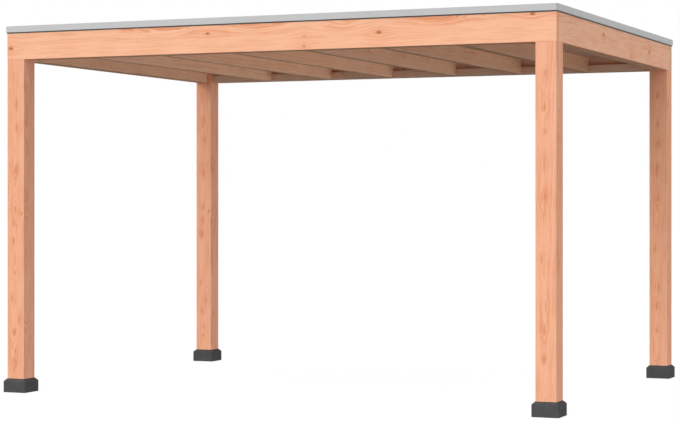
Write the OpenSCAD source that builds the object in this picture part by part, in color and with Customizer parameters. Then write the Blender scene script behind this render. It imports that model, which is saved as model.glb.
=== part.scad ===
// Flat-roofed timber patio cover, open on all four sides.
// Four square posts stand on bevelled plinth feet and carry a ring of beams, let into their heads.
// Joists run front to back, notched over a batten on the front and the back beam.
// They carry a deck of V-jointed boards, a roof skin turned up inside the ring and down over its outer
// faces, and a metal edge trim.
// Millimetres. The origin is on the ground at the centre of the plan, with the front towards -Y.

/* [Frame] */
// Width over the posts, left to right
frame_w = 3500; // [2600:10:5000]
// Depth over the posts, front to back
frame_d = 2600; // [1800:10:4500]
// Height of the beams' underside above the ground
headroom = 2036; // [1800:1:2800]
// Chamfer along the edges of the planed timber
arris = 2; // [1:0.5:6]

/* [Feet] */
// Distance that a foot stands out past its post
foot_reach = 18; // [8:1:60]
// Height of a foot's upright sides
foot_side_h = 68; // [30:1:200]
// Height of the bevel above the upright sides
foot_bevel_h = 16; // [6:1:60]
// Rounding of a foot's upright corners
foot_corner = 6; // [2:1:20]

/* [Posts] */
// Width of a square post
post_w = 120; // [100:1:180]

/* [Ring beams] */
// Thickness of a ring beam, and so the depth of the rebates in the post heads
beam_t = 45; // [30:1:60]
// Height of a ring beam
beam_h = 195; // [160:1:300]

/* [Joists] */
// Thickness of a joist
joist_t = 45; // [30:1:70]
// Height of a joist
joist_h = 100; // [80:1:120]
// Thickness of the batten under the joist ends
batten_t = 45; // [25:1:60]
// Height of the batten under the joist ends
batten_h = 50; // [25:1:60]
// Clearance between a notched joist and the batten's inner face
notch_gap = 0.5; // [0.2:0.1:1]

/* [Roof] */
// Thickness of the roof boards
board_t = 18; // [12:1:28]
// Width that one roof board covers, before the row is evened out
board_w = 121; // [80:1:200]
// Depth of the V-joint between two boards
groove_depth = 3; // [1:0.5:5]
// Clearance between the deck and the ring
deck_gap = 0.5; // [0.2:0.1:1]
// Thickness of the roof skin
skin_t = 1.5; // [1:0.1:3]
// Height of the skin's turned-down edge that shows below the trim
skin_show = 7; // [1:1:20]

/* [Edge trim] */
// Height of the trim's face
trim_face_h = 38; // [30:1:80]
// Height of the trim above the ring beams
trim_rise = 11; // [10:1:25]
// Distance of the trim's face outside the ring beams
trim_overhang = 9; // [7.5:0.5:12]
// Thickness of the trim's metal
trim_metal = 2; // [1.5:0.1:3]
// Distance that the trim's flange stops short of the ring's inner faces
flange_inset = 7; // [2:1:12]
// Width of the lip along the trim's top edge
lip_w = 12; // [8:1:18]
// Depth of the lip's turned-down edge
lip_drop = 5; // [3:0.5:6]
// Radius inside the lip where it turns a corner of the roof
lip_corner_r = 2; // [1:0.5:8]
// Rounding of the trim's outer top edge
trim_edge_r = 1.5; // [0.5:0.1:3]
// Clearance between the drip edge and the skin
drip_gap = 0.3; // [0.1:0.1:0.5]
// Length of a corner piece's arms
corner_arm = 150; // [80:1:300]
// Joint between two lengths of trim
trim_joint = 0.3; // [0.1:0.1:0.8]

/* [Hidden] */
// Each corner has its name and its signs along X and Y; each side or end has its name and its sign
CORNERS = [["front_left", -1, -1], ["front_right", 1, -1], ["back_left", -1, 1], ["back_right", 1, 1]];
ENDS = [["front", -1], ["back", 1]];
SIDES = [["left", -1], ["right", 1]];
joist_count = 6;

// Levels, from the ground up
foot_h = foot_side_h + foot_bevel_h;
joist_top = headroom + joist_h;
deck_top = joist_top + board_t;
ring_top = headroom + beam_h;

// Spans inside the ring and between the posts
ring_in_w = frame_w - 2 * beam_t;
ring_in_d = frame_d - 2 * beam_t;
clear_w = frame_w - 2 * post_w;
clear_d = frame_d - 2 * post_w;

// The joists divide the clear width between the posts into equal bays
joist_pitch = (clear_w - joist_count * joist_t) / (joist_count + 1) + joist_t;

// The boards are evened out over the deck's depth
deck_w = ring_in_w - 2 * deck_gap;
deck_d = ring_in_d - 2 * deck_gap;
board_count = round(deck_d / board_w);
board_cover = deck_d / board_count;

// The skin hangs down outside the ring, behind the trim's face, and the drip edge stops just short of it
skin_drop = trim_face_h - trim_rise + skin_show;
drip_in = skin_t + drip_gap;

// A corner piece turns about a point this far inside the ring's outer faces
corner_in = lip_w + lip_corner_r - trim_overhang;

// How far a cut runs past the face that it opens
over = 1;
edge_steps = 4;
curve_fn = 48;

timber = "#f0b58d";
timber_shade = "#dca57e";
plinth = "#515151";
rubber = "#3a3b3d";
trim_grey = "#cdd0d2";

// Outline of a timber w wide and h high, centred, with its edges taken off by c
function planed(w, h, c) = [
    [-w / 2 + c, -h / 2], [w / 2 - c, -h / 2], [w / 2, -h / 2 + c], [w / 2, h / 2 - c],
    [w / 2 - c, h / 2], [-w / 2 + c, h / 2], [-w / 2, h / 2 - c], [-w / 2, -h / 2 + c]
];

// Moves what is made for the back right corner to the corner c
module to_corner(c) {
    mirror([min(c[1], 0), 0, 0]) mirror([0, min(c[2], 0), 0]) children();
}

// Extrudes an outline along X, with the outline's x along Y and its y along Z
module along_x(length) {
    rotate([90, 0, 90]) linear_extrude(length, center = true) children();
}

// Extrudes an outline along Y, with the outline's x along X and its y along Z
module along_y(length) {
    rotate([90, 0, 0]) linear_extrude(length, center = true) children();
}

// A flat slab w by d, centred, from z up by h
module slab(w, d, z, h) {
    translate([-w / 2, -d / 2, z]) cube([w, d, h]);
}

// ---------------------------------------------------------------- feet and posts

// Side view of a foot: upright sides, then the bevel up to the post
function foot_outline() = let (r = post_w / 2 + foot_reach) [
    [-r, 0], [r, 0], [r, foot_side_h], [post_w / 2, foot_h], [-post_w / 2, foot_h], [-r, foot_side_h]
];

// A square w wide, centred, with its corners rounded to r
module rounded_square(w, r) {
    square([w, w - 2 * r], center = true);
    square([w - 2 * r, w], center = true);
    for (x = [-1, 1], y = [-1, 1]) translate([x, y] * (w / 2 - r)) circle(r, $fn = curve_fn);
}

module post_axis() {
    translate([(frame_w - post_w) / 2, (frame_d - post_w) / 2, 0]) children();
}

module foot() {
    foot_w = post_w + 2 * foot_reach;
    color(plinth) post_axis() intersection() {
        along_x(foot_w) polygon(foot_outline());
        along_y(foot_w) polygon(foot_outline());
        linear_extrude(foot_h) rounded_square(foot_w, foot_corner);
    }
}

// A post with its head rebated on its two outer faces, so that the ring beams lie flush with them
module post() {
    rebate_h = joist_h + over;
    color(timber) difference() {
        post_axis() translate([0, 0, foot_h])
            linear_extrude(joist_top - foot_h) polygon(planed(post_w, post_w, arris));
        translate([frame_w / 2 - beam_t, frame_d / 2 - post_w - over, headroom])
            cube([beam_t + over, post_w + 2 * over, rebate_h]);
        translate([frame_w / 2 - post_w - over, frame_d / 2 - beam_t, headroom])
            cube([post_w + 2 * over, beam_t + over, rebate_h]);
    }
}

// ---------------------------------------------------------------- ring beams

// The front and back beams run the full width and cover the ends of the side beams
module end_beam(e) {
    color(timber) translate([0, e[1] * (frame_d - beam_t) / 2, headroom + beam_h / 2])
        along_x(frame_w) polygon(planed(beam_t, beam_h, arris));
}

module side_beam(s) {
    color(timber) translate([s[1] * (frame_w - beam_t) / 2, 0, headroom + beam_h / 2])
        along_y(ring_in_d) polygon(planed(beam_t, beam_h, arris));
}

// ---------------------------------------------------------------- joists and battens

module batten(e) {
    color(timber_shade) translate([0, e[1] * (ring_in_d - batten_t) / 2, headroom + batten_h / 2])
        along_x(clear_w) polygon(planed(batten_t, batten_h, arris));
}

// A joist between the ring beams, with each end notched over the batten
module joist(i) {
    notch_d = batten_t + notch_gap;
    color(timber_shade) translate([(i - (joist_count + 1) / 2) * joist_pitch, 0, headroom])
        difference() {
            translate([0, 0, joist_h / 2]) along_y(ring_in_d) polygon(planed(joist_t, joist_h, arris));
            for (e = ENDS)
                translate([0, e[1] * (ring_in_d - notch_d + over) / 2, 0])
                    slab(joist_t + 2 * over, notch_d + over, -over, batten_h + over);
        }
}

// An edge joist lies against a side beam, between the post heads
module edge_joist(s) {
    color(timber_shade) translate([s[1] * (ring_in_w - joist_t) / 2, 0, headroom + joist_h / 2])
        along_y(clear_d) polygon(planed(joist_t, joist_h, arris));
}

// ---------------------------------------------------------------- roof deck and skin

// End view of the deck: flat on top, with a V-joint below between each two boards
function deck_outline() = concat(
    [[-deck_d / 2, 0]],
    [for (i = [1 : board_count - 1], p = [[-1, 0], [0, 1], [1, 0]])
        [-deck_d / 2 + i * board_cover + p[0] * groove_depth, p[1] * groove_depth]],
    [[deck_d / 2, 0], [deck_d / 2, board_t], [-deck_d / 2, board_t]]
);

module roof_deck() {
    color(timber_shade) translate([0, 0, joist_top]) along_x(deck_w) polygon(deck_outline());
}

// The skin lies on the deck, turns up inside the ring, crosses its top and hangs down its outer faces
module roof_skin() {
    upstand = ring_top + skin_t - deck_top;
    tray_w = ring_in_w - 2 * skin_t;
    tray_d = ring_in_d - 2 * skin_t;
    color(rubber) union() {
        difference() {
            slab(ring_in_w, ring_in_d, deck_top, upstand);
            slab(tray_w, tray_d, deck_top + skin_t, upstand);
        }
        difference() {
            slab(frame_w + 2 * skin_t, frame_d + 2 * skin_t, ring_top - skin_drop, skin_drop + skin_t);
            slab(frame_w, frame_d, ring_top - skin_drop - over, skin_drop + over);
            slab(tray_w, tray_d, ring_top - over, skin_t + 2 * over);
        }
    }
}

// ---------------------------------------------------------------- edge trim

// Section of the trim. Its x runs outwards from the ring's outer face, its y up from the ring's top.
// A face with a drip edge below, a lip with a turned-down edge on top, and a flange on the skin.
function trim_outline(flange) =
    let (face_in = trim_overhang - trim_metal, low = trim_rise - trim_face_h, lip_in = trim_overhang - lip_w)
    concat(
        [[trim_overhang, low]],
        [for (k = [0 : edge_steps]) let (a = 90 * k / edge_steps)
            [trim_overhang + trim_edge_r * (cos(a) - 1), trim_rise + trim_edge_r * (sin(a) - 1)]],
        [
            [lip_in, trim_rise], [lip_in, trim_rise - lip_drop],
            [lip_in + trim_metal, trim_rise - lip_drop], [lip_in + trim_metal, trim_rise - trim_metal],
            [face_in, trim_rise - trim_metal], [face_in, skin_t + trim_metal],
            [-flange, skin_t + trim_metal], [-flange, skin_t], [face_in, skin_t],
            [face_in, low + trim_metal], [drip_in, low + trim_metal], [drip_in, low]
        ]
    );

flange_w = beam_t - flange_inset;

// A length of trim along X, with the ring's outer top edge on the X axis and the ring on its -Y side
module trim_run(length) {
    along_x(length) polygon(trim_outline(flange_w));
}

module end_trim(e) {
    color(trim_grey) mirror([0, min(e[1], 0), 0]) translate([0, frame_d / 2, ring_top])
        trim_run(frame_w - 2 * (corner_arm + trim_joint));
}

module side_trim(s) {
    color(trim_grey) mirror([min(s[1], 0), 0, 0]) translate([frame_w / 2, 0, ring_top]) rotate([0, 0, -90])
        trim_run(frame_d - 2 * (corner_arm + trim_joint));
}

// A corner piece: the section turned through a quarter circle, with an arm on each side.
// Its drip edge is cut back to clear the square corner of the skin.
module trim_corner() {
    arm = corner_arm - corner_in;
    low = trim_rise - trim_face_h;
    color(trim_grey) translate([frame_w / 2, frame_d / 2, ring_top]) difference() {
        union() {
            translate([-corner_in, -corner_in, 0]) rotate_extrude(angle = 90, $fn = curve_fn)
                translate([corner_in, 0]) polygon(trim_outline(corner_in));
            translate([-corner_in - arm / 2, 0, 0]) trim_run(arm);
            translate([0, -corner_in - arm / 2, 0]) rotate([0, 0, -90]) trim_run(arm);
        }
        translate([drip_in - corner_arm, drip_in - corner_arm, low - over])
            cube([corner_arm, corner_arm, skin_t - low + over]);
    }
}

// ---------------------------------------------------------------- the pieces

for (c = CORNERS) {
    to_corner(c) foot();
    to_corner(c) post();
    to_corner(c) trim_corner();
}
for (e = ENDS) {
    end_beam(e);
    batten(e);
    end_trim(e);
}
for (s = SIDES) {
    side_beam(s);
    edge_joist(s);
    side_trim(s);
}
for (i = [1 : joist_count]) {
    joist(i);
}
roof_deck();
roof_skin();
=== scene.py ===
"""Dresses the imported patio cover: timbers, plinth feet, roof boards, roof skin, edge trim and screws.

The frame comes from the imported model. Every length is in metres, in the frame's own axes:
the origin is on the ground at the centre of the plan, +Z is up and the front faces -Y.
"""

import logging
import math
from dataclasses import dataclass
from enum import Enum
from typing import ClassVar, Iterable, Sequence

import bmesh
import bpy
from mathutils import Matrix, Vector


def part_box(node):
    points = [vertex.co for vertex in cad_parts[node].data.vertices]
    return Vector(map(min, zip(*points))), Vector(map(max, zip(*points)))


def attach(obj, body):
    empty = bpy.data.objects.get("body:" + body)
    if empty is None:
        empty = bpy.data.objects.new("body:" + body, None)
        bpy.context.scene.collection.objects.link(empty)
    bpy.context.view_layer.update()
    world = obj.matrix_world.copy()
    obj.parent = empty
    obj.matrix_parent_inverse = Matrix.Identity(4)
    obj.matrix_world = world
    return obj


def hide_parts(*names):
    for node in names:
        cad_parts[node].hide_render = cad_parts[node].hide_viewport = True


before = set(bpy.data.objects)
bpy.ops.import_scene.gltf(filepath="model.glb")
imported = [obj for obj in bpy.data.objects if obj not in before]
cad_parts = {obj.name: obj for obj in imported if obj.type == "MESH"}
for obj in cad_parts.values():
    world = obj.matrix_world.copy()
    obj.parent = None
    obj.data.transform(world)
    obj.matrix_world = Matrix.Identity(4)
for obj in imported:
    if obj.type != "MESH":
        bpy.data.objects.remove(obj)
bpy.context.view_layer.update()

LOG = logging.getLogger("patio_cover")

Point = tuple[float, float, float]
Box = tuple[Point, Point]
Colour = tuple[float, float, float]
Socket = bpy.types.NodeSocket

BODY = "root"
MM = 0.001

CORNERS = ("front_left", "front_right", "back_left", "back_right")
JOISTS = tuple(f"joist_{number}" for number in range(1, 7))


# ---------------------------------------------------------------------------------- node trees


class Value:
    """A number or a vector in a node tree, where plain arithmetic adds the nodes for it."""

    def __init__(self, graph: "Graph", socket: Socket) -> None:
        """Wraps an output socket of one of the graph's nodes."""
        self.graph = graph
        self.socket = socket

    def apply(self, operation: str, *others: "Value | float | Point") -> "Value":
        """Adds a node that works on this value.

        Args:
            operation: What the node does, such as MAXIMUM.
            *others: The node's other inputs, in order.

        Returns:
            The node's result.
        """
        kind = "ShaderNodeMath"
        if self.socket.type in ("VECTOR", "RGBA"):
            kind = "ShaderNodeVectorMath"
            others = [(other,) * 3 if isinstance(other, float) else other for other in others]
        return self.graph.value(kind, dict(enumerate((self, *others))), operation=operation)

    def __add__(self, other: "Value | float | Point") -> "Value":
        """Adds a value or a constant."""
        return self.apply("ADD", other)

    def __sub__(self, other: "Value | float | Point") -> "Value":
        """Takes a value or a constant away."""
        return self.apply("SUBTRACT", other)

    def __mul__(self, other: "Value | float | Point") -> "Value":
        """Multiplies by a value or a constant, a vector part by part."""
        return self.apply("MULTIPLY", other)

    def __truediv__(self, other: "Value | float | Point") -> "Value":
        """Divides by a value or a constant, a vector part by part."""
        return self.apply("DIVIDE", other)

    def length(self) -> "Value":
        """Measures a vector."""
        return self.graph.value("ShaderNodeVectorMath", {0: self}, "Value", operation="LENGTH")

    def parts(self) -> "list[Value]":
        """Splits a vector into its three parts."""
        return self.graph.values("ShaderNodeSeparateXYZ", {0: self})

    def step(self, low: float, high: float) -> "Value":
        """Rises smoothly from 0 at low to 1 at high.

        Args:
            low: Where the rise starts.
            high: Where the rise ends. Below low, the result falls instead.

        Returns:
            A number between 0 and 1.
        """
        start, end, first, last = (low, high, 0.0, 1.0) if low < high else (high, low, 1.0, 0.0)
        inputs = {"Value": self, "From Min": start, "From Max": end, "To Min": first, "To Max": last}
        return self.graph.value("ShaderNodeMapRange", inputs, "Result", interpolation_type="SMOOTHSTEP")


Number = Value | float


class Graph:
    """Short calls that add nodes to a tree and join them."""

    def __init__(self, tree: bpy.types.NodeTree) -> None:
        """Starts on a tree."""
        self.tree = tree

    def feed(self, node: bpy.types.Node, inputs: dict[str | int, object]) -> None:
        """Joins or sets a node's inputs.

        Args:
            node: The node.
            inputs: Input name or number, to a value to join or a constant to set.
        """
        for key, value in inputs.items():
            if isinstance(value, Value):
                self.tree.links.new(value.socket, node.inputs[key])
            else:
                node.inputs[key].default_value = value

    def node(self, kind: str, inputs: dict[str | int, object] | None = None,
             **settings: object) -> bpy.types.Node:
        """Adds a node, with its settings and its inputs.

        Args:
            kind: Blender's name of the node type.
            inputs: As feed takes them.
            **settings: Attributes of the node, such as operation.

        Returns:
            The new node.
        """
        made = self.tree.nodes.new(kind)
        for name, value in settings.items():
            setattr(made, name, value)
        self.feed(made, inputs or {})
        return made

    def value(self, kind: str, inputs: dict[str | int, object] | None = None, output: str | int = 0,
              **settings: object) -> Value:
        """Adds a node, as node does, and returns one of its outputs."""
        return Value(self, self.node(kind, inputs, **settings).outputs[output])

    def values(self, kind: str, inputs: dict[str | int, object] | None = None,
               **settings: object) -> list[Value]:
        """Adds a node, as node does, and returns all its outputs in order."""
        return [Value(self, socket) for socket in self.node(kind, inputs, **settings).outputs]

    def join(self, x: Number, y: Number, z: Number) -> Value:
        """Makes a vector of three numbers."""
        return self.value("ShaderNodeCombineXYZ", {0: x, 1: y, 2: z})

    def noise(self, place: Value, scale: float = 1.0, detail: float = 2.0, rough: float = 0.5) -> Value:
        """Reads a noise of that scale, with finer layers of that number and share, from 0 to 1."""
        return self.value("ShaderNodeTexNoise", {"Vector": place, "Scale": scale, "Detail": detail,
                                                 "Roughness": rough})

    def drift(self, place: Value, detail: float, rough: float = 0.5) -> Value:
        """Reads a noise that strays each way by up to a half, as a vector."""
        inputs = {"Vector": place, "Scale": 1.0, "Detail": detail, "Roughness": rough}
        return self.value("ShaderNodeTexNoise", inputs, "Color") - 0.5

    def row(self, place: Value, scale: float, detail: float, rough: float = 0.5) -> Value:
        """Reads a noise along one number, from 0 to 1."""
        inputs = {"W": place, "Scale": scale, "Detail": detail, "Roughness": rough}
        return self.value("ShaderNodeTexNoise", inputs, noise_dimensions="1D")

    def mix(self, share: Number, first: Value | Colour, second: Value | Colour) -> Value:
        """Mixes two colours.

        Args:
            share: How much of the second colour shows, from 0 to 1.
            first: The colour at 0.
            second: The colour at 1.

        Returns:
            The mixed colour.
        """
        low, high = ((*colour, 1.0) if isinstance(colour, tuple) else colour for colour in (first, second))
        return self.value("ShaderNodeMix", {0: share, 6: low, 7: high}, 2, data_type="RGBA")


def new_group(kind: str, name: str, inputs: dict[str, str],
              outputs: dict[str, str]) -> tuple[Graph, dict[str, Value]]:
    """Starts a node group.

    Args:
        kind: Shader or Geometry.
        name: The group's name.
        inputs: Each input's name and socket type.
        outputs: Each output's name and socket type.

    Returns:
        The group's graph, and its inputs by name.
    """
    tree = bpy.data.node_groups.new(name, f"{kind}NodeTree")
    for way, sockets in (("INPUT", inputs), ("OUTPUT", outputs)):
        for key, socket in sockets.items():
            tree.interface.new_socket(key, in_out=way, socket_type=f"NodeSocket{socket}")
    graph = Graph(tree)
    given = graph.node("NodeGroupInput").outputs
    return graph, {key: Value(graph, given[key]) for key in inputs}


class Surface(Graph):
    """A material's tree, with its shader and the places that its patterns read."""

    def __init__(self, name: str) -> None:
        """Makes the material.

        Args:
            name: The material's name.
        """
        self.material = bpy.data.materials.new(name)
        self.material.use_nodes = True
        super().__init__(self.material.node_tree)
        self.shader = self.tree.nodes["Principled BSDF"]
        self.place = self.value("ShaderNodeTexCoord", output="Object")
        self.normal = self.value("ShaderNodeNewGeometry", output="Normal")

    def dress(self, colour: Value, roughness: Value, height: Value, depth: float, strength: float,
              specular: float) -> bpy.types.Material:
        """Joins the finished patterns to the shader.

        Args:
            colour: The surface's colour.
            roughness: Its roughness.
            height: Its relief, from 0 to 1.
            depth: How deep the relief is.
            strength: How strongly the relief shows.
            specular: The shader's specular level.

        Returns:
            The material.
        """
        bump = self.value("ShaderNodeBump", {"Height": height, "Distance": depth, "Strength": strength})
        self.feed(self.shader, {"Base Color": colour, "Roughness": roughness, "Normal": bump,
                                "Specular IOR Level": specular})
        return self.material


# ---------------------------------------------------------------------------------- finishes


class Grain(Enum):
    """Direction that a timber's grain runs in."""

    ACROSS = 0
    BACKWARDS = 1
    UPRIGHT = 2


@dataclass(frozen=True)
class Knot:
    """A knot, where a branch ran through the timber.

    Attributes:
        centre: Its middle, in the frame.
        radius: Half its width across the grain.
        stretch: Its length over its width.
        branch: Axis that the branch ran along: 0, 1 or 2.
        dark: How dark it is, from 0 to 1, or 0 for one sawn off, that only turns the grain.
        turn: How far along the grain it turns the grain.
        bold: How much bolder it makes the growth rings round it.
        swing: How far across the grain it turns the grain, over its radius.
        reach: How far it shows each way along the branch.
        turn_reach: How far it turns the grain each way along the branch.
    """

    centre: Point
    radius: float
    stretch: float = 1.3
    branch: int = 1
    dark: float = 1.0
    turn: float = 60 * MM
    bold: float = 0.0
    swing: float = 5.0
    reach: float = 50 * MM
    turn_reach: float = 80 * MM

    def radii(self, grain: Grain, along: float, across: float, reach: float) -> Point:
        """Gives radii round the knot along the three axes.

        Args:
            grain: The timber's grain direction.
            along: The radius along the grain.
            across: The radius across the grain.
            reach: The radius along the branch.

        Returns:
            The radii along X, Y and Z.
        """
        radii = [across] * 3
        radii[grain.value] = along
        radii[self.branch] = reach
        return tuple(radii)


def knot_group() -> None:
    """Builds the node group that places one knot.

    It gives a Core, 1 in the knot, a Halo round it, and a Bent place that bends the grain round it.
    """
    vectors = dict.fromkeys(("Place", "Bent", "Centre", "Radii", "Turned"), "Vector")
    graph, given = new_group("Shader", "knot", vectors, {"Bent": "Vector", "Core": "Float", "Halo": "Float"})
    away = given["Place"] - given["Centre"]
    ragged = graph.noise(given["Place"], 70.0) * 0.7 + (away / given["Radii"]).length()
    wide = (away / given["Turned"]).length()
    halo = (wide * wide * -1.0).apply("EXPONENT")
    pull = halo * -0.8
    bent = given["Bent"] + away * graph.join(pull, pull, pull)
    graph.node("NodeGroupOutput", {"Bent": bent, "Core": ragged.step(1.75, 0.75), "Halo": halo})


def grain_group() -> None:
    """Builds the node group for the growth rings of softwood sawn along the tree.

    It reads a place along, across and through the tree, and gives Late, the dark late wood of each
    ring, Band, the tone of the rings from year to year, Streak, the changes of tone along the grain,
    Fibre, the finest lines, Cloud, where the rings show more or less, and Outer, 1 in the outer wood.
    """
    inputs = {"Place": "Vector", "Ring": "Float", "Wander": "Float", "Taper": "Float"}
    outputs = dict.fromkeys(("Late", "Band", "Streak", "Fibre", "Cloud", "Outer"), "Float")
    graph, given = new_group("Shader", "softwood_grain", inputs, outputs)
    place = given["Place"]

    slow = graph.drift(place * (0.9, 2.5, 2.5), 2.0, 0.4) * graph.join(0.0, given["Wander"], given["Wander"])
    ripple = graph.drift(place * (3.0, 9.0, 9.0), 1.0) * (0.0, 0.028, 0.028)
    quick = graph.noise(place * (8.0, 26.0, 26.0), 1.0, 3.0)
    along, across, through = (place + slow + ripple).parts()
    distance = graph.join(0.0, across, through).length()
    radius = along * given["Taper"] + distance + (quick - 0.5) * 0.009

    rings = radius / given["Ring"]
    rings = graph.row(rings, 0.29, 1.0) * 2.0 + rings
    part = rings.apply("FRACT")
    graph.node("NodeGroupOutput", {
        "Late": part.step(0.3, 0.88) * part.step(1.0, 0.93),
        "Band": graph.row(rings, 0.43, 3.0, 0.65),
        "Streak": graph.noise(place * (5.5, 70.0, 70.0), 1.0, 4.0, 0.62),
        "Fibre": graph.noise(place * (14.0, 900.0, 900.0)),
        "Cloud": graph.noise(place * (5.0, 16.0, 16.0)).step(0.36, 0.64),
        "Outer": distance.step(0.05, 0.08),
    })


@dataclass(frozen=True)
class WoodFinish:
    """Planed, untreated softwood.

    Attributes:
        light: Colour of the early wood.
        dark: Colour of the late wood.
        knot: Colour of a knot.
        flush: How far the early wood strays towards pink, and towards straw.
        pale: How much paler the tree's outer wood is.
        ring: Width of a growth ring.
        wander: How far the rings stray along the timber.
        taper: How fast the tree narrows.
        base: How much of the late wood's colour shows everywhere.
        streaks: How strongly the changes of tone along the grain show.
        bands: How strongly the changes of tone from year to year show.
        lines: How strongly the late wood of each ring shows.
        fibres: How strongly the finest lines show.
        shadow: How much darker the wood is round a knot.
        end: How much darker sawn ends are.
    """

    light: Colour = (0.935, 0.502, 0.306)
    dark: Colour = (0.79, 0.315, 0.165)
    knot: Colour = (0.47, 0.15, 0.06)
    flush: float = 0.015
    pale: float = 0.08
    ring: float = 4.6 * MM
    wander: float = 0.06
    taper: float = 0.012
    base: float = 0.03
    streaks: float = 1.1
    bands: float = 1.2
    lines: float = 0.34
    fibres: float = 0.2
    shadow: float = 0.24
    end: float = 0.25

    def material(self, name: str, box: Box, grain: Grain, tone: float = 1.0,
                 heart: tuple[float, float] = (0.07, 0.0), knots: Sequence[Knot] = (),
                 per_board: bool = False) -> bpy.types.Material:
        """Makes the material of one timber.

        Args:
            name: The timber's name.
            box: Its lowest and highest corner.
            grain: Direction of its grain.
            tone: Brightness of its colours.
            heart: Where the tree's heart lies from the timber's middle, across and through.
            knots: The knots that show on it.
            per_board: Whether each board of the piece has a grain of its own, from its attribute.

        Returns:
            The material.
        """
        surface = Surface(f"{name}_wood")
        bent, core, halo, bold = self.bend(surface, grain, knots)
        middle = [(low + high) / 2 for low, high in zip(*box)]
        along, across, through = ((grain.value + turn) % 3 for turn in range(3))
        parts = bent.parts()
        seed = sum(ord(letter) for letter in name) * 0.37 % 50.0
        place = surface.join(parts[along] + seed, parts[across] - (middle[across] + heart[0]),
                             parts[through] - (middle[through] + heart[1]))
        if per_board:
            place += surface.value("ShaderNodeAttribute", output="Vector", attribute_name="board")
        late, band, streak, fibre, cloud, outer = surface.values(
            "ShaderNodeGroup", {"Place": place, "Ring": self.ring, "Wander": self.wander,
                                "Taper": self.taper}, node_tree=bpy.data.node_groups["softwood_grain"])

        shown = cloud * 1.2 + 0.4 + bold
        share = (streak - 0.5) * self.streaks + self.base
        share += ((band - 0.5) * self.bands + late * self.lines) * shown
        share += (fibre - 0.5) * self.fibres + halo * self.shadow
        tint = surface.noise(place * (4.0, 28.0, 28.0)).step(0.35, 0.65)
        early = surface.mix(tint, self.toned(tone, -self.flush, self.flush),
                            self.toned(tone, self.flush, -self.flush))
        early = surface.mix(outer, early, self.toned(tone, self.pale * 0.4, self.pale))
        colour = surface.mix(share, early, self.shade(self.dark, tone))
        if knots:
            colour = surface.mix(core, colour, self.shade(self.knot, tone))
        end = surface.normal.parts()[along].apply("ABSOLUTE").step(0.75, 0.95) * self.end
        colour = surface.mix(end, colour, self.shade(self.dark, tone * 0.9))
        return surface.dress(colour, late * -0.06 + 0.85, late * 0.5 + fibre * 0.5, 0.3 * MM, 0.5, 0.0)

    @staticmethod
    def bend(surface: Surface, grain: Grain,
             knots: Sequence[Knot]) -> tuple[Value, Number, Number, Number]:
        """Places the knots and bends the grain round them.

        Args:
            surface: The material's tree.
            grain: The timber's grain direction.
            knots: The timber's knots.

        Returns:
            The bent place, how much a knot shows there, how near one is, and how much bolder the rings
            are. The last three are plain zeros on a timber without knots.
        """
        bent, core, halo, bold = surface.place, 0.0, 0.0, 0.0
        for knot in knots:
            seen = knot.radii(grain, knot.radius * knot.stretch, knot.radius, knot.reach)
            turned = knot.radii(grain, knot.turn, knot.radius * knot.swing, knot.turn_reach)
            bent, mark, near = surface.values(
                "ShaderNodeGroup", {"Place": surface.place, "Bent": bent, "Centre": knot.centre,
                                    "Radii": seen, "Turned": turned}, node_tree=bpy.data.node_groups["knot"])
            core = (mark * knot.dark).apply("MAXIMUM", core)
            halo = near.apply("MAXIMUM", halo)
            bold = near * knot.bold + bold
        return bent, core, halo, bold

    def toned(self, tone: float, green: float, blue: float) -> Colour:
        """Gives the early wood's colour in a tone, with a share more of green and of blue."""
        base = self.shade(self.light, tone)
        return base[0], base[1] * (1.0 + green), base[2] * (1.0 + blue)

    @staticmethod
    def shade(colour: Colour, tone: float) -> Colour:
        """Makes a colour brighter or darker by the tone."""
        return tuple(min(part * tone, 1.0) for part in colour)


@dataclass(frozen=True)
class ConcreteFinish:
    """Smooth cast concrete, coloured dark grey through and through.

    Attributes:
        body: Its colour.
        pale: Colour of the lime bloom on it.
        pore: Colour inside its air holes.
    """

    body: Colour = (0.083, 0.082, 0.083)
    pale: Colour = (0.13, 0.13, 0.13)
    pore: Colour = (0.025, 0.025, 0.025)

    def material(self, name: str) -> bpy.types.Material:
        """Makes the material.

        Args:
            name: The material's name.

        Returns:
            The material.
        """
        surface = Surface(name)
        cloud = surface.noise(surface.place, 22.0, 5.0, 0.6)
        sand = surface.noise(surface.place, 900.0)
        away, chance, *_ = surface.values("ShaderNodeTexVoronoi",
                                          {"Vector": surface.place, "Scale": 95.0, "Randomness": 1.0})
        pore = away.step(0.16, 0.08) * chance.parts()[0].step(0.55, 0.6)
        colour = surface.mix(cloud.step(0.45, 0.75) * 0.5, self.body, self.pale)
        colour = surface.mix(sand * 0.25, colour, self.pore)
        colour = surface.mix(pore * 0.8, colour, self.pore)
        relief = pore * -0.9 + sand * 0.1 + 0.9
        return surface.dress(colour, cloud * 0.1 + 0.85, relief, 0.8 * MM, 0.6, 0.05)


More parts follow.
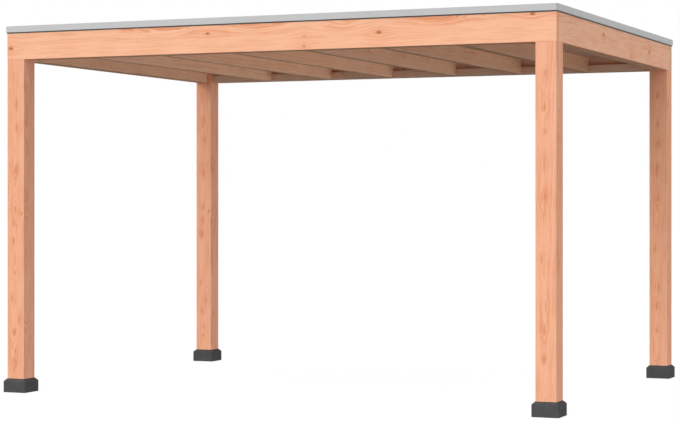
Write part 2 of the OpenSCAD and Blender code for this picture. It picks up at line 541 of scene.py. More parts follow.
@dataclass(frozen=True)
class RubberFinish:
    """Dark grey roofing rubber, with the dust that rain leaves on it.

    Attributes:
        body: Its colour when clean.
        dust: Colour of the dust that rain leaves on it.
    """

    body: Colour = (0.07, 0.069, 0.067)
    dust: Colour = (0.13, 0.13, 0.125)

    def material(self, name: str) -> bpy.types.Material:
        """Makes the material.

        Args:
            name: The material's name.

        Returns:
            The material.
        """
        surface = Surface(name)
        puddle = surface.noise(surface.place, 1.6, 5.0, 0.55)
        speck = surface.noise(surface.place, 55.0, 4.0, 0.6)
        tide = puddle.step(0.45, 0.53) * puddle.step(0.62, 0.54)
        upward = surface.normal.parts()[2].step(0.5, 0.9)
        dust = (puddle.step(0.4, 0.7) + tide) * 0.35 * upward * speck.step(0.2, 0.75)
        colour = surface.mix(dust, self.body, self.dust)
        wave = surface.noise(surface.place, 9.0, 3.0)
        return surface.dress(colour, dust * 0.4 + 0.5, wave, 3 * MM, 0.35, 0.35)


@dataclass(frozen=True)
class MetalFinish:
    """Sheet or bar metal with a plain coat or a bright face.

    Attributes:
        body: Its colour.
        stain: Colour of the marks on it.
        metallic: Share of bare metal in its look.
        roughness: Its roughness.
    """

    body: Colour = (0.488, 0.49, 0.493)
    stain: Colour = (0.40, 0.395, 0.385)
    metallic: float = 0.0
    roughness: float = 0.42

    def material(self, name: str) -> bpy.types.Material:
        """Makes the material.

        Args:
            name: The material's name.

        Returns:
            The material.
        """
        surface = Surface(name)
        drawn = surface.noise(surface.place * (3.0, 3.0, 140.0), 1.0, 3.0)
        cloud = surface.noise(surface.place, 5.0, 4.0)
        colour = surface.mix(cloud.step(0.5, 0.8) * 0.35, self.body, self.stain)
        colour = surface.mix(drawn * 0.12, colour, self.stain)
        surface.feed(surface.shader, {"Metallic": self.metallic})
        return surface.dress(colour, cloud * 0.12 + (self.roughness - 0.06), drawn, 0.1 * MM, 0.3, 0.45)


# ---------------------------------------------------------------------------------- mesh helpers


def new_piece(name: str, mesh: bpy.types.Mesh,
              material: bpy.types.Material | None = None) -> bpy.types.Object:
    """Puts a mesh into the scene as a piece of its own.

    Args:
        name: The piece's name.
        mesh: Its mesh, with its place in its vertices.
        material: Its material, unless a Geometry Nodes tree sets it.

    Returns:
        The piece's object.
    """
    mesh.name = name
    if material:
        mesh.materials.append(material)
    piece = bpy.data.objects.new(name, mesh)
    bpy.context.scene.collection.objects.link(piece)
    return piece


def settle(piece: bpy.types.Object, slot: str, *nodes: str) -> None:
    """Fixes a piece to the body and hides the CAD nodes that it stands for.

    Args:
        piece: The finished piece.
        slot: The record's material slot. Not used.
        *nodes: The CAD nodes that it stands for.
    """
    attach(piece, BODY)
    if nodes:
        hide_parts(*nodes)
    LOG.info("%s: %d faces", piece.name, len(piece.data.polygons))


def bake_modifiers(piece: bpy.types.Object) -> None:
    """Turns what a piece's modifiers make into its own plain mesh.

    Args:
        piece: The piece, which loses its modifiers.
    """
    graph = bpy.context.evaluated_depsgraph_get()
    mesh = bpy.data.meshes.new_from_object(piece.evaluated_get(graph), depsgraph=graph)
    piece.modifiers.clear()
    mesh.name = piece.name
    piece.data = mesh


def finish_mesh(shape: bmesh.types.BMesh, name: str) -> bpy.types.Mesh:
    """Turns a shape under construction into a mesh, and frees it.

    Args:
        shape: The shape.
        name: The mesh's name.

    Returns:
        The mesh.
    """
    mesh = bpy.data.meshes.new(name)
    shape.to_mesh(mesh)
    shape.free()
    return mesh


def solid_copy(node: str) -> bpy.types.Mesh:
    """Copies a CAD node's mesh as a clean solid with whole faces.

    Args:
        node: The CAD node's name.

    Returns:
        The new mesh.
    """
    shape = bmesh.new()
    shape.from_mesh(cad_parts[node].data)
    bmesh.ops.remove_doubles(shape, verts=shape.verts, dist=0.01 * MM)
    bmesh.ops.dissolve_limit(shape, angle_limit=math.radians(0.5), verts=shape.verts, edges=shape.edges)
    return finish_mesh(shape, node)


def loft(name: str, *stacks: Sequence[Sequence[Point]]) -> bpy.types.Mesh:
    """Makes closed shells, each from a stack of rings of points, with both ends closed.

    Args:
        name: The mesh's name.
        *stacks: The rings of each shell, all with the same number of points.

    Returns:
        The mesh, with its faces outwards.
    """
    shape = bmesh.new()
    for rings in stacks:
        loops = [[shape.verts.new(point) for point in ring] for ring in rings]
        for lower, upper in zip(loops, loops[1:]):
            for here in range(len(lower)):
                shape.faces.new((lower[here - 1], lower[here], upper[here], upper[here - 1]))
        shape.faces.new(loops[0])
        shape.faces.new(loops[-1])
    bmesh.ops.recalc_face_normals(shape, faces=shape.faces)
    return finish_mesh(shape, name)


def fillet(before: Vector, corner: Vector, after: Vector, radius: float, steps: int) -> list[Vector]:
    """Rounds a corner of an outline that turns left there.

    Args:
        before: The point before the corner.
        corner: The corner.
        after: The point after the corner.
        radius: Radius of the rounding.
        steps: Number of straight parts in it.

    Returns:
        The points that take the corner's place.
    """
    ahead = (corner - before).normalized()
    aside = Vector((-ahead.y, ahead.x))
    turn = ahead.angle(after - corner)
    start = corner - ahead * radius * math.tan(turn / 2)
    angles = [turn * step / steps for step in range(steps + 1)]
    return [start + (ahead * math.sin(angle) + aside * (1 - math.cos(angle))) * radius for angle in angles]


def soften(piece: bpy.types.Object, width: float) -> None:
    """Rounds a piece's edges and shades it smoothly between them.

    Args:
        piece: The piece.
        width: Width of the rounding.
    """
    bevel = piece.modifiers.new("soften", "BEVEL")
    bevel.width = width
    bevel.segments = 2
    bevel.limit_method = "ANGLE"
    bevel.angle_limit = math.radians(30)
    bake_modifiers(piece)
    smooth(piece, 60.0)


def smooth(piece: bpy.types.Object, sharpest: float) -> None:
    """Shades a piece smoothly, with its large faces flat and its sharp edges kept.

    Args:
        piece: The piece.
        sharpest: Angle in degrees above which an edge stays sharp.
    """
    for face in piece.data.polygons:
        face.use_smooth = True
    piece.data.set_sharp_from_angle(angle=math.radians(sharpest))
    weighted = piece.modifiers.new("weighted", "WEIGHTED_NORMAL")
    weighted.weight = 100
    weighted.keep_sharp = True
    bake_modifiers(piece)


# ---------------------------------------------------------------------------------- Geometry Nodes


def run_nodes(name: str, places: Sequence[Point], tree: bpy.types.NodeTree,
              values: dict[str, object], **ways: Sequence[Point]) -> bpy.types.Object:
    """Runs a Geometry Nodes tree on loose points and keeps the result as a plain mesh.

    Args:
        name: The new piece's name.
        places: The points that the tree reads.
        tree: The tree.
        values: The tree's inputs, by name.
        **ways: A vector for each point, by the name of its attribute.

    Returns:
        The piece, without its modifier.
    """
    mesh = bpy.data.meshes.new(name)
    mesh.from_pydata(places, [], [])
    for key, vectors in ways.items():
        attribute = mesh.attributes.new(key, "FLOAT_VECTOR", "POINT")
        for item, vector in zip(attribute.data, vectors):
            item.vector = vector
    piece = new_piece(name, mesh)
    modifier = piece.modifiers.new(tree.name, "NODES")
    modifier.node_group = tree
    for item in tree.interface.items_tree:
        if item.in_out == "INPUT" and item.name in values:
            modifier[item.identifier] = values[item.name]
    bake_modifiers(piece)
    return piece


def geometry_tree(name: str, inputs: dict[str, str]) -> tuple[Graph, dict[str, Value]]:
    """Starts a Geometry Nodes tree with those inputs after the geometry, as new_group does."""
    return new_group("Geometry", name, {"Geometry": "Geometry", **inputs}, {"Geometry": "Geometry"})


def end_tree(graph: Graph, instances: Value, material: Value) -> bpy.types.NodeTree:
    """Ends a tree: realizes its instances and gives them their material.

    Args:
        graph: The tree's graph.
        instances: The instances to realize.
        material: The material's value.

    Returns:
        The finished tree.
    """
    real = graph.value("GeometryNodeRealizeInstances", {0: instances})
    dressed = graph.value("GeometryNodeSetMaterial", {"Geometry": real, "Material": material})
    graph.node("NodeGroupOutput", {0: dressed})
    return graph.tree


# ---------------------------------------------------------------------------------- feet


@dataclass
class Plinths:
    """The four plinth feet: upright sides, a bevel, and a narrow level top round the post.

    Attributes:
        side: Height of the upright sides.
        corner: Rounding of the upright corners.
        edge: Rounding of the other edges.
        nip: Bevel at the ground.
        seat: Width of the level top outside the post.
        finish: Their finish.
    """

    side: float = 68 * MM
    corner: float = 6 * MM
    edge: float = 5 * MM
    nip: float = 2 * MM
    seat: float = 2 * MM
    finish: ConcreteFinish = ConcreteFinish()

    def ring(self, centre: Vector, half: float, height: float) -> list[Point]:
        """Gives a square with rounded corners.

        Args:
            centre: The foot's middle.
            half: Half the square's width.
            height: Its height.

        Returns:
            Its points, anticlockwise from above.
        """
        square = [Vector((x, y)) * half for x, y in ((1, 1), (-1, 1), (-1, -1), (1, -1))]
        return [(centre.x + point.x, centre.y + point.y, height) for turn in range(4)
                for point in fillet(square[turn - 1], square[turn], square[turn - 3], self.corner, 6)]

    def levels(self, half: float, top_half: float, height: float) -> list[Vector]:
        """Gives the foot's side view, from the ground up to its top.

        Args:
            half: Half the foot's width.
            top_half: Half the width of its level top.
            height: Its height.

        Returns:
            Half-width and height of each level.
        """
        foot, brow, lip, middle = (Vector(point) for point in (
            (half, self.nip), (half, self.side), (top_half, height), (0.0, height)))
        return [Vector((half - self.nip, 0.0)), foot, *fillet(foot, brow, lip, self.edge, 4),
                *fillet(brow, lip, middle, self.edge, 4)]

    def build(self) -> None:
        """Builds and dresses the four feet."""
        material = self.finish.material("plinth_concrete")
        for corner in CORNERS:
            low, high = (Vector(point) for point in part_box(f"foot_{corner}"))
            post_low, post_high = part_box(f"post_{corner}")
            top_half = (post_high[0] - post_low[0]) / 2 + self.seat
            rings = [self.ring((low + high) / 2, width, low.z + level)
                     for width, level in self.levels((high.x - low.x) / 2, top_half, high.z)]
            piece = new_piece(f"plinth_{corner}", loft("plinth", rings), material)
            smooth(piece, 50.0)
            settle(piece, "plinth", f"foot_{corner}")


# ---------------------------------------------------------------------------------- timbers


@dataclass
class Timbers:
    """Planed timbers, each a softened copy of its CAD solid with a grain of its own.

    Attributes:
        rounding: Rounding of the edges, on top of the planed chamfer.
        finish: Their finish.
    """

    rounding: float = 0.8 * MM
    finish: WoodFinish = WoodFinish()

    def timber(self, node: str, slot: str, grain: Grain, finish: WoodFinish | None = None,
               **wood: object) -> None:
        """Builds and dresses one timber.

        Args:
            node: The CAD node's name.
            slot: The record's material slot.
            grain: Direction of its grain.
            finish: Its finish, where it isn't the group's.
            **wood: More of what WoodFinish.material takes.
        """
        material = (finish or self.finish).material(node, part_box(node), grain, **wood)
        piece = new_piece(f"{node}_timber", solid_copy(node), material)
        soften(piece, self.rounding)
        settle(piece, slot, node)


@dataclass
class Posts(Timbers):
    """The four corner posts, with their heads rebated for the ring beams.

    Attributes:
        woods: Each post's tone, and how far in front of its middle the tree's heart lies.
        heart_left: How far left of its middle the heart lies.
        left_marks: The small knots down the front of the left posts: height, how far right of the
            middle, radius, both in millimetres, and length over width.
        right_marks: Those of the right posts.
        darkness: How dark the marks of the left and of the right posts are.
        mark_turn: How far along the grain a mark turns the grain.
    """

    finish: WoodFinish = WoodFinish(light=(0.922, 0.47, 0.294), dark=(0.75, 0.27, 0.135),
                                    knot=(0.67, 0.24, 0.12), taper=-0.028)
    woods: ClassVar[dict[str, tuple[float, float]]] = {
        "front_left": (0.95, 38 * MM), "front_right": (0.97, 34 * MM),
        "back_left": (0.965, 38 * MM), "back_right": (0.96, 38 * MM)}
    heart_left: float = 8 * MM
    left_marks: tuple[tuple[float, ...], ...] = (
        (1.76, 5, 5, 9.0), (1.62, 5, 5, 4.0), (1.365, 5, 5, 6.0), (1.125, -3, 6, 3.5), (1.095, 41, 7, 1.4),
        (1.035, -10, 5, 4.0), (0.93, -14, 6, 4.0), (0.575, -24, 5, 5.0), (0.445, 26, 5, 4.0),
        (0.365, -7, 6, 3.5), (0.255, -3, 5, 4.0), (0.19, -3, 6, 3.5))
    right_marks: tuple[tuple[float, ...], ...] = (
        (1.865, -3, 6, 3.5), (1.68, -6, 5, 5.0), (1.55, -3, 7, 2.4), (1.375, -9, 6, 9.0),
        (1.195, -3, 6, 3.5), (0.86, -22, 5, 6.0), (0.6, 0, 4, 10.0), (0.48, -9, 6, 5.0),
        (0.315, -9, 6, 2.2))
    darkness: tuple[float, float] = (0.75, 0.6)
    mark_turn: float = 40 * MM

    def build(self) -> None:
        """Builds and dresses the posts."""
        for corner in CORNERS:
            low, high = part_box(f"post_{corner}")
            middle = (low[0] + high[0]) / 2
            left = corner.endswith("left")
            marks, dark = (self.left_marks if left else self.right_marks), self.darkness[0 if left else 1]
            knots = [Knot((middle + aside * MM, low[1], height), radius * MM, stretch, dark=dark,
                          turn=self.mark_turn) for height, aside, radius, stretch in marks]
            tone, depth = self.woods[corner]
            self.timber(f"post_{corner}", "post_timber", Grain.UPRIGHT, tone=tone,
                        heart=(-self.heart_left, -depth), knots=knots)


@dataclass
class RingBeams(Timbers):
    """The four beams of the ring.

    Attributes:
        left: The left beam's finish, greyer than the front beam's: partly its own colour, partly painted
            shade for its inner face under the roof.
        back: The back beam's finish, paler and greyer than the front beam's: partly its own colour, partly
            painted shade for its inner face under the roof.
        right: The right beam's finish.
        front_knots: On the front beam: place along it, height, radius in millimetres, darkness, and
            how far along the grain they turn it, in millimetres.
        front_waves: Knots sawn off just above it: place along it, and how far they turn the grain, in
            millimetres.
        wave_height: Height of those.
        wave_radius: Their radius.
        wave_bold: How much bolder they make the growth rings.
        right_knots: On the right beam: place along it, height, radius in millimetres and darkness.
    """

    # The left and back finishes are greyer partly as painted shade for their inner faces under the roof.
    left: WoodFinish = WoodFinish((0.93, 0.55, 0.36), (0.75, 0.33, 0.19))
    back: WoodFinish = WoodFinish((0.9, 0.58, 0.41), (0.72, 0.36, 0.22))
    right: WoodFinish = WoodFinish((0.945, 0.53, 0.345), (0.76, 0.3, 0.16))
    front_knots: tuple[tuple[float, ...], ...] = (
        (-1.724, 2.105, 10.5, 0.9, 60), (-0.37, 2.15, 8, 0.9, 120), (0.25, 2.115, 8, 0.22, 60),
        (0.25, 2.055, 8, 0.5, 60), (0.713, 2.12, 9.5, 0.9, 80), (1.615, 2.19, 9, 0.9, 80))
    front_waves: tuple[tuple[float, float], ...] = ((-0.7, 180), (-0.06, 160), (0.5, 90), (1.08, 180))
    wave_height: float = 2.24
    wave_radius: float = 17 * MM
    wave_bold: float = 2.4
    right_knots: tuple[tuple[float, ...], ...] = (
        (-0.366, 2.147, 11, 0.62), (0.705, 2.12, 13, 0.7), (0.265, 2.055, 10, 0.35))

    def build(self) -> None:
        """Builds and dresses the beams."""
        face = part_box("front_beam")[0][1]
        front = [Knot((x, face, z), radius * MM, 1.9, dark=dark, turn=turn * MM)
                 for x, z, radius, dark, turn in self.front_knots]
        front += [Knot((x, face, self.wave_height), self.wave_radius, dark=0.0, turn=turn * MM,
                       bold=self.wave_bold) for x, turn in self.front_waves]
        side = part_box("right_beam")[1][0]
        right = [Knot((side, y, z), radius * MM, 1.8, branch=0, dark=dark)
                 for y, z, radius, dark in self.right_knots]
        slot = "beam_timber"
        self.timber("front_beam", slot, Grain.ACROSS, heart=(0.05, 0.09), knots=front)
        # The back and left beams' lower tones are painted shade for their inner faces under the roof.
        self.timber("back_beam", slot, Grain.ACROSS, self.back, tone=0.94, heart=(-0.08, -0.03))
        self.timber("left_beam", slot, Grain.BACKWARDS, self.left, tone=0.93, heart=(0.03, -0.08))
        self.timber("right_beam", slot, Grain.BACKWARDS, self.right, heart=(0.13, -0.05), knots=right)


@dataclass
class RoofTimbers(Timbers):
    """The joists, the edge joists and the battens under the roof.

    Attributes:
        batten: The battens' finish.
        joist_tones: Brightness of each joist's wood, lower towards the right as painted shade.
    """

    finish: WoodFinish = WoodFinish((0.94, 0.585, 0.385), (0.8, 0.4, 0.235))
    batten: WoodFinish = WoodFinish((0.9, 0.61, 0.43), (0.77, 0.42, 0.26))
    # Painted shade: the joists darken from left to right, as though less light reached them near the right
    # beam.
    joist_tones: tuple[float, ...] = (1.0, 1.0, 0.98, 0.9, 0.84, 0.75)

    def build(self) -> None:
        """Builds and dresses the roof's timbers."""
        slot = "roof_timber"
        for number, (node, tone) in enumerate(zip(JOISTS, self.joist_tones)):
            self.timber(node, slot, Grain.BACKWARDS, tone=tone, heart=(0.02, 0.07 - 0.02 * (number % 3)))
        for side, tone in (("left", 0.9), ("right", 0.93)):
            self.timber(f"{side}_edge_joist", slot, Grain.BACKWARDS, tone=tone, heart=(0.0, 0.06))
        for end, tone in (("front", 0.92), ("back", 0.9)):
            self.timber(f"{end}_batten", slot, Grain.ACROSS, self.batten, tone=tone, heart=(0.05, 0.02))


# ---------------------------------------------------------------------------------- roof boards


@dataclass
class BoardDeck:
    """The roof boards: tongued and grooved, with a V-joint below between each two.

    Attributes:
        usual: Width that one board covers, before the row is evened out.
        bevel: Depth of the V-joint.
        tongue: Width of the tongue.
        gap: Half the gap between two boards.
        tongue_span: Heights of the tongue's underside and top, as shares of the thickness.
        shifts: The smallest and the greatest random shift of a board's grain along the three axes.
        seed: Seed of those shifts.
        finish: Their finish.
    """

    usual: float = 121 * MM
    bevel: float = 3 * MM
    tongue: float = 6 * MM
    gap: float = 0.3 * MM
    tongue_span: tuple[float, float] = (0.42, 0.68)
    shifts: Box = ((-20.0, -0.02, -0.02), (20.0, 0.02, 0.10))
    seed: int = 4
    finish: WoodFinish = WoodFinish((0.9, 0.6, 0.43), (0.77, 0.42, 0.27))

    def section(self, cover: float, thick: float) -> list[tuple[float, float]]:
        """Gives the end view of one board.

        Args:
            cover: Width that it covers.
            thick: Its thickness.

        Returns:
            Its points, as depth and height from its front lower edge.
        """
        gap = self.gap
        low, high = (thick * share for share in self.tongue_span)
        edge, tip, root = cover - gap, cover + self.tongue - gap, self.tongue + gap
        return [(self.bevel, 0.0), (cover - self.bevel, 0.0), (edge, self.bevel), (edge, low),
                (tip, low + gap), (tip, high - gap), (edge, high), (edge, thick), (gap, thick),
                (gap, high + gap), (root, high + gap), (root, low - gap), (gap, low - gap),
                (gap, self.bevel)]

    def tree(self) -> bpy.types.NodeTree:
        """Builds the tree that lays the boards side by side.

        Returns:
            The tree.
        """
        graph, given = geometry_tree("board_row", {"Board": "Object", "Count": "Int", "Cover": "Float",
                                                   "Seed": "Int", "Material": "Material"})
        start = graph.value("GeometryNodeInputPosition")
        first = graph.value("GeometryNodeSampleIndex", {"Geometry": given["Geometry"], "Value": start},
                            data_type="FLOAT_VECTOR")
        offset = graph.join(0.0, given["Cover"], 0.0)
        row = graph.value("GeometryNodeMeshLine",
                          {"Count": given["Count"], "Start Location": first, "Offset": offset}, mode="OFFSET")
        board = graph.value("GeometryNodeObjectInfo", {"Object": given["Board"]}, "Geometry")
        laid = graph.value("GeometryNodeInstanceOnPoints", {"Points": row, "Instance": board})
        least, most = self.shifts
        chance = graph.value("FunctionNodeRandomValue", {0: least, 1: most, "Seed": given["Seed"]},
                             data_type="FLOAT_VECTOR")
        named = graph.value("GeometryNodeStoreNamedAttribute",
                            {"Geometry": laid, "Name": "board", "Value": chance},
                            data_type="FLOAT_VECTOR", domain="INSTANCE")
        return end_tree(graph, named, given["Material"])

    def build(self) -> None:
        """Builds and dresses the deck."""
        low, high = (Vector(point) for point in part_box("roof_deck"))
        half = (high.x - low.x) / 2
        count = round((high.y - low.y) / self.usual)
        cover = (high.y - low.y - self.tongue) / count
        section = self.section(cover, high.z - low.z)
        pattern = new_piece("board_pattern", loft("board", [[(x, *point) for point in section]
                                                            for x in (-half, half)]))
        material = self.finish.material("roof_board", (tuple(low), (high.x, low.y + cover, high.z)),
                                        Grain.ACROSS, tone=0.92, heart=(0.02, 0.05), per_board=True)
        piece = run_nodes("roof_boards", [((low.x + high.x) / 2, low.y, low.z)], self.tree(), {
            "Board": pattern, "Count": count, "Cover": cover, "Seed": self.seed, "Material": material})
        bpy.data.objects.remove(pattern)
        settle(piece, "roof_boards", "roof_deck")


# ---------------------------------------------------------------------------------- roof skin and trim


@dataclass
class RoofSkin:
    """The rubber skin: one sheet, turned up inside the ring, with a folded flap in each corner.

    Attributes:
        fold: Length of a folded flap along the upstand.
        ply: Thickness of a flap.
        tip: Height of a flap's blunt tip.
        tip_share: How far along the flap the tip's lower end lies.
        lift: How far a flap ends above the sheet.
        finish: Its finish.
    """

    fold: float = 70 * MM
    ply: float = 1.8 * MM
    tip: float = 8 * MM
    tip_share: float = 0.86
    lift: float = 1 * MM
    finish: RubberFinish = RubberFinish()

    def build(self) -> None:
        """Builds and dresses the skin and its folds."""
        material = self.finish.material("roof_rubber")
        sheet = new_piece("roof_sheet", solid_copy("roof_skin"), material)
        soften(sheet, 0.6 * MM)
        settle(sheet, "roof_rubber", "roof_skin")
        folds = new_piece("roof_sheet_folds", self.folds(), material)
        soften(folds, 0.5 * MM)
        settle(folds, "roof_rubber")

    def folds(self) -> bpy.types.Mesh:
        """Makes the triangular flaps, where the spare rubber of each inside corner is folded flat.

        Returns:
            The flaps' mesh.
        """
        side_low, side_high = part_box("right_beam")
        skin_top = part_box("roof_skin")[1][2]
        skin = skin_top - side_high[2]
        edge_x = side_low[0] - skin
        edge_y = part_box("back_beam")[1][1] - (side_high[0] - edge_x)
        floor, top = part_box("roof_deck")[1][2] + skin, skin_top - skin
        flap = ((edge_x, floor + self.lift), (edge_x, top), (edge_x - self.fold, top),
                (edge_x - self.fold * self.tip_share, top - self.tip))
        plies = (edge_y, edge_y - self.ply)
        return loft("folds", *([[(side * x, end * y, z) for x, z in flap] for y in plies]
                               for side in (-1, 1) for end in (-1, 1)))


@dataclass
class EdgeTrim:
    """The metal trim round the roof: four lengths and four corner pieces.

    Attributes:
        finish: Its finish.
    """

    finish: MetalFinish = MetalFinish()

    def build(self) -> None:
        """Builds and dresses the trim."""
        material = self.finish.material("trim_coat")
        nodes = [f"{side}_trim" for side in ("front", "back", "left", "right")]
        for node in nodes + [f"trim_corner_{corner}" for corner in CORNERS]:
            piece = new_piece(f"{node}_metal", solid_copy(node), material)
            smooth(piece, 35.0)
            settle(piece, "trim_metal", node)


# ---------------------------------------------------------------------------------- screws


@dataclass
class Screws:
    """Countersunk screws in the battens, the edge joists, the joist ends and the trim's flange.

    Attributes:
        head: Radius of a screw's head.
        proud: How far a head stands out of the wood.
        flange: Thickness of the trim's flange.
        spacing: Usual distance between the flange's screws.
        inwards: How far inside the trim's middle line they stand.
        end_back: How far behind the batten's face the joist ends' screws stand.
        end_up: How far above the batten they stand.
        edge_count: Number of screws in an edge joist.
        edge_up: Heights of those above its underside, by turns.
        seed: Seed of the screws' turns.
        finish: Their finish.
    """

    head: float = 3.5 * MM
    proud: float = 0.2 * MM
    flange: float = 2 * MM
    spacing: float = 0.3
    inwards: float = 7 * MM
    end_back: float = 20 * MM
    end_up: float = 22 * MM
    edge_count: int = 6
    edge_up: tuple[float, float] = (30 * MM, 70 * MM)
    seed: int = 7
    finish: MetalFinish = MetalFinish((0.42, 0.33, 0.2), (0.25, 0.19, 0.11), 0.6, 0.45)

    def pattern(self) -> bpy.types.Object:
        """Makes one screw head with a six-lobed recess, facing +Z.

        Returns:
            The head's object.
        """
        steps = 24
        # Each ring's radius and the height of its lobes, both over the head's radius, and its height.
        levels = ((0.9, 0.0, -0.3 * MM), (1.0, 0.0, 0.0), (0.93, 0.0, self.proud),
                  (0.38, 0.09, self.proud), (0.38, 0.09, -0.25 * MM))
        rings = []
        for share, lobe, height in levels:
            ring = []
            for angle in (math.tau * step / steps for step in range(steps)):
                radius = self.head * (share + lobe * math.cos(6 * angle))
                ring.append((radius * math.cos(angle), radius * math.sin(angle), height))
            rings.append(ring)
        return new_piece("screw_pattern", loft("screw", rings))

    def frame_places(self) -> Iterable[tuple[Point, Point]]:
        """Gives the screws in the battens, the joist ends and the edge joists.

        Yields:
            A point on the wood's surface, and the surface's outward direction.
        """
        joists = [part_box(node) for node in JOISTS]
        walls = [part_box("left_edge_joist")[1][0], *(corner[0] for joist in joists for corner in joist),
                 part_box("right_edge_joist")[0][0]]
        middles = [(start + end) / 2 for start, end in zip(walls[::2], walls[1::2])]
        for end, sign in (("front", 1.0), ("back", -1.0)):
            low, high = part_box(f"{end}_batten")
            face = high[1] if sign > 0 else low[1]
            for middle in middles:
                yield (middle, face, (low[2] + high[2]) / 2), (0.0, sign, 0.0)
            for joist in joists:
                for corner, way in zip(joist, (-1.0, 1.0)):
                    yield (corner[0], face - sign * self.end_back, high[2] + self.end_up), (way, 0.0, 0.0)
        for side, sign in (("left", 1.0), ("right", -1.0)):
            low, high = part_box(f"{side}_edge_joist")
            face = high[0] if sign > 0 else low[0]
            for step in range(self.edge_count):
                y = low[1] + (high[1] - low[1]) * (step + 0.5) / self.edge_count
                yield (face, y, low[2] + self.edge_up[step % 2]), (sign, 0.0, 0.0)

    def flange_places(self) -> Iterable[tuple[Point, Point]]:
        """Gives the screws in the trim's flange.

        Yields:
            A point on the flange's top, and its outward direction.
        """
        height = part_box("roof_skin")[1][2] + self.flange
        for node, along in (("front_trim", 0), ("back_trim", 0), ("left_trim", 1), ("right_trim", 1)):
            low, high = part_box(node)
            length = high[along] - low[along]
            count = round(length / self.spacing)
            middle = (low[1 - along] + high[1 - along]) / 2
            line = middle + math.copysign(self.inwards, -middle)
            for step in range(count):
                place = [line, line, height]
                place[along] = low[along] + length * (step + 0.5) / count
                yield tuple(place), (0.0, 0.0, 1.0)

    def tree(self) -> bpy.types.NodeTree:
        """Builds the tree that puts a screw on each point, turned at random.

        Returns:
            The tree.
        """
        graph, given = geometry_tree("screw_set", {"Screw": "Object", "Seed": "Int", "Material": "Material"})
        screw = graph.value("GeometryNodeObjectInfo", {"Object": given["Screw"]}, "Geometry")
        facing = graph.value("GeometryNodeInputNamedAttribute", {"Name": "facing"}, data_type="FLOAT_VECTOR")
        turn = graph.value("FunctionNodeAlignRotationToVector", {"Vector": facing}, axis="Z")
        laid = graph.value("GeometryNodeInstanceOnPoints",
                           {"Points": given["Geometry"], "Instance": screw, "Rotation": turn})
        spin = graph.value("FunctionNodeRandomValue", {3: math.tau, "Seed": given["Seed"]}, 1,
                           data_type="FLOAT")
        turned = graph.value("GeometryNodeRotateInstances",
                             {"Instances": laid, "Rotation": graph.join(0.0, 0.0, spin)})
        return end_tree(graph, turned, given["Material"])

    def build(self) -> None:
        """Builds and dresses the screws."""
        places, ways = zip(*self.frame_places(), *self.flange_places())
        pattern = self.pattern()
        material = self.finish.material("screw_steel")
        values = {"Screw": pattern, "Seed": self.seed, "Material": material}
        piece = run_nodes("screws", places, self.tree(), values, facing=ways)
        bpy.data.objects.remove(pattern)
        settle(piece, "trim_metal")


# ---------------------------------------------------------------------------------- studio


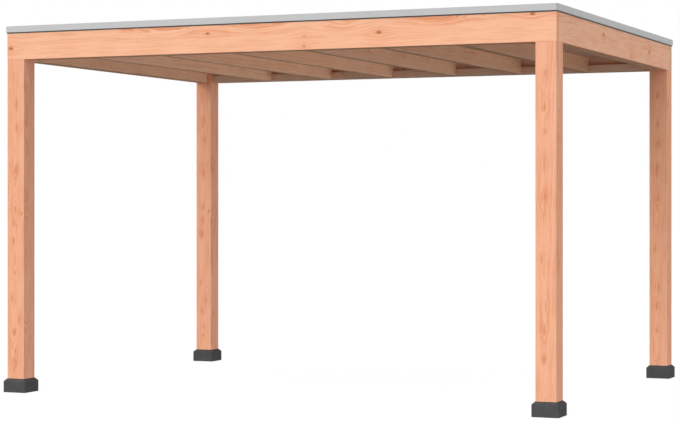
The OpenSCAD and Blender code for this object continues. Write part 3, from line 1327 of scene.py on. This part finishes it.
@dataclass
class Studio:
    """The floor, the lights and the camera.

    Attributes:
        eye: The camera's place.
        turn: Angle in degrees by which the camera is turned left of straight back.
        lens: The camera's focal length in millimetres, for a sensor 36 mm wide.
        shift: The camera's upright shift, as a share of the sensor's width.
        sun: Strength of the sun, in watts a square metre.
        sun_spread: The sun's width in degrees, which softens its shadows.
        sun_angles: How far the sun stands left of the front, and above the ground, in degrees.
        sky: Strength of the white surroundings above the horizon.
        sky_front: What they have more of in front.
        sky_right: What they have more of on the right.
        ground: Strength of the light that comes back from the floor all round.
        ground_right: What the nearer floor gives more of on the right, where the farther floor gives
            none.
        floor_size: Half the floor's width.
        floor_fade: Distances from the middle between which the shadow on the floor dies away.
        floor_glow: Strength of the floor's white.
        shadow: How much of the shadow shows near the object.
    """

    eye: Point = (4.788, -11.230, 1.177)
    turn: float = 23.48
    lens: float = 101.1
    shift: float = -0.0153
    sun: float = 0.92
    sun_spread: float = 35.0
    sun_angles: tuple[float, float] = (35.0, 20.0)
    sky: float = 0.74
    sky_front: float = 0.76
    sky_right: float = -0.2
    ground: float = 0.53
    ground_right: float = 1.5
    floor_size: float = 60.0
    floor_fade: tuple[float, float] = (2.4, 4.2)
    floor_glow: float = 1.04
    shadow: float = 0.08

    def build(self) -> None:
        """Builds the studio."""
        bpy.context.scene.view_settings.view_transform = "Standard"
        self.build_camera()
        self.build_floor()
        self.build_sun()
        self.build_surroundings()

    def build_camera(self) -> None:
        """Builds the camera, which stands level, in front of the cover and to its right."""
        data = bpy.data.cameras.new("camera")
        data.sensor_width = 36.0
        data.lens = self.lens
        data.shift_y = self.shift
        data.clip_end = 200.0
        camera = bpy.data.objects.new("camera", data)
        camera.location = self.eye
        camera.rotation_euler = (math.radians(90), 0.0, math.radians(self.turn))
        bpy.context.scene.collection.objects.link(camera)
        bpy.context.scene.camera = camera

    def build_floor(self) -> None:
        """Builds a white floor that shows a trace of the object's shadow, and none of it far away."""
        material = bpy.data.materials.new("floor_white")
        material.use_nodes = True
        graph = Graph(material.node_tree)
        graph.tree.nodes.remove(graph.tree.nodes["Principled BSDF"])
        shown = graph.value("ShaderNodeBsdfDiffuse", {"Color": (0.8, 0.8, 0.8, 1.0)})
        white = graph.value("ShaderNodeEmission", {"Strength": self.floor_glow})
        far = graph.value("ShaderNodeTexCoord", output="Object").length().step(*self.floor_fade)
        seen = graph.value("ShaderNodeMixShader",
                           {0: far * self.shadow + (1.0 - self.shadow), 1: shown, 2: white})
        graph.feed(graph.tree.nodes["Material Output"], {"Surface": seen})
        size = self.floor_size
        mesh = bpy.data.meshes.new("floor")
        mesh.from_pydata([(-size, -size, 0), (size, -size, 0), (size, size, 0), (-size, size, 0)], [],
                         [(0, 1, 2, 3)])
        floor = new_piece("floor", mesh, material)
        floor.visible_diffuse = False
        floor.visible_shadow = False

    def build_sun(self) -> None:
        """Builds the soft sun."""
        data = bpy.data.lights.new("sun", "SUN")
        data.energy = self.sun
        data.angle = math.radians(self.sun_spread)
        lamp = bpy.data.objects.new("sun", data)
        side, height = (math.radians(angle) for angle in self.sun_angles)
        level = math.cos(height)
        way = Vector((math.sin(side) * level, math.cos(side) * level, -math.sin(height)))
        lamp.rotation_euler = way.to_track_quat("-Z", "Y").to_euler()
        bpy.context.scene.collection.objects.link(lamp)

    def build_surroundings(self) -> None:
        """Builds the white surroundings, which light the object more from some sides than others."""
        world = bpy.data.worlds.new("surroundings")
        bpy.context.scene.world = world
        world.use_nodes = True
        graph = Graph(world.node_tree)
        # The direction that the light comes from: its height is 0 level and -1 straight below.
        aside, depth, height = graph.value("ShaderNodeTexCoord", output="Generated").parts()
        level = graph.join(aside, depth, 0.0).length()
        front, right = ((way / level).apply("MAXIMUM", 0.0).apply("POWER", 2.0)
                        for way in (depth * -1.0, aside))
        above = front * self.sky_front + right * self.sky_right + self.sky
        near = height.step(-0.12, -0.22) * (self.ground_right + self.ground) - self.ground
        below = (right * near + self.ground) * height.step(-0.55, -0.45)
        light = above * height.step(-0.02, 0.02) + below * height.step(0.02, -0.02)
        for kind in ("Camera", "Glossy", "Transmission"):
            clear = graph.value("ShaderNodeLightPath", output=f"Is {kind} Ray")
            light = light.apply("MAXIMUM", clear)
        graph.feed(graph.tree.nodes["Background"], {"Color": (1.0, 1.0, 1.0, 1.0), "Strength": light})


# ---------------------------------------------------------------------------------- the whole cover


def main() -> None:
    """Builds the studio and every piece."""
    logging.basicConfig(level=logging.INFO, format="%(name)s %(message)s")
    knot_group()
    grain_group()
    for part in (Studio(), Plinths(), Posts(), RingBeams(), RoofTimbers(), BoardDeck(), RoofSkin(),
                 EdgeTrim(), Screws()):
        LOG.info("building %s", type(part).__name__)
        part.build()


if __name__ == "__main__":
    main()
